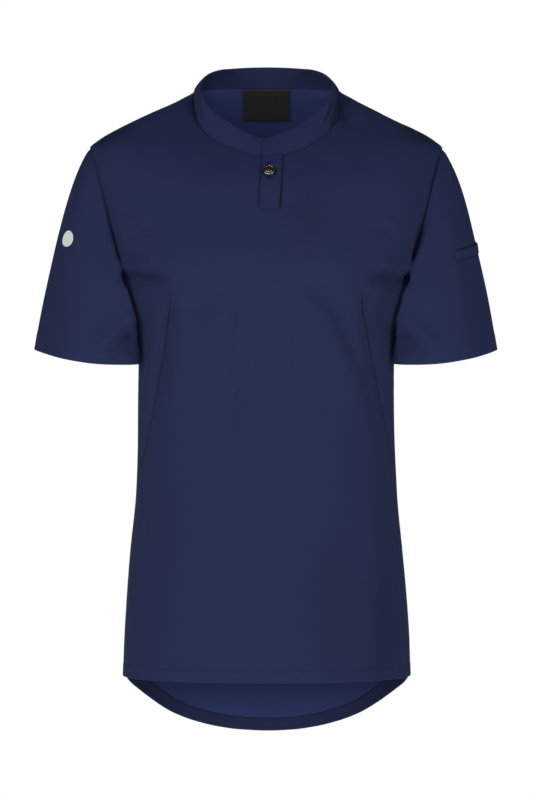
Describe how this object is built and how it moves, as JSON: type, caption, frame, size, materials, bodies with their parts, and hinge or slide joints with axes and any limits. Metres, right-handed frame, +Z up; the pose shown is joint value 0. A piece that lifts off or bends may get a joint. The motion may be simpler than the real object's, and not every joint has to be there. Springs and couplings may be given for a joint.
{
  "type": "short-sleeve work shirt",
  "caption": "Hollow short-sleeve work shirt with a lapped band collar, short buttoned placket, set-in sleeves and a longer curved back hem.",
  "frame": {"origin": "midway between the two points where the shoulder seams meet the collar, where the wearer's shoulders hold the shirt", "axes": "+Z up, the front faces -Y, +X towards the wearer's left"},
  "size_m": [0.5226, 0.2375, 0.7673],
  "materials": {
    "navy_cloth": "matt fine woven navy cloth",
    "navy_tape": "matt darker navy facing strip",
    "label_cloth": "satin woven black label with no words",
    "button_metal": "worn satin bronze",
    "button_centre": "polished dark brown",
    "badge": "smooth white, bare"
  },
  "bodies": {
    "root": {"front": "navy_cloth", "back": "navy_cloth", "sleeve_left": "navy_cloth", "sleeve_right": "navy_cloth", "collar_band": "navy_cloth", "placket_upper": "navy_cloth", "placket_under": "navy_cloth", "pen_pocket_welt": "navy_cloth", "back_hem_facing": "navy_tape", "neck_label": "label_cloth", "button_rim": "button_metal", "button_dome": "button_centre", "sleeve_badge": "badge"}
  },
  "joints": []
}
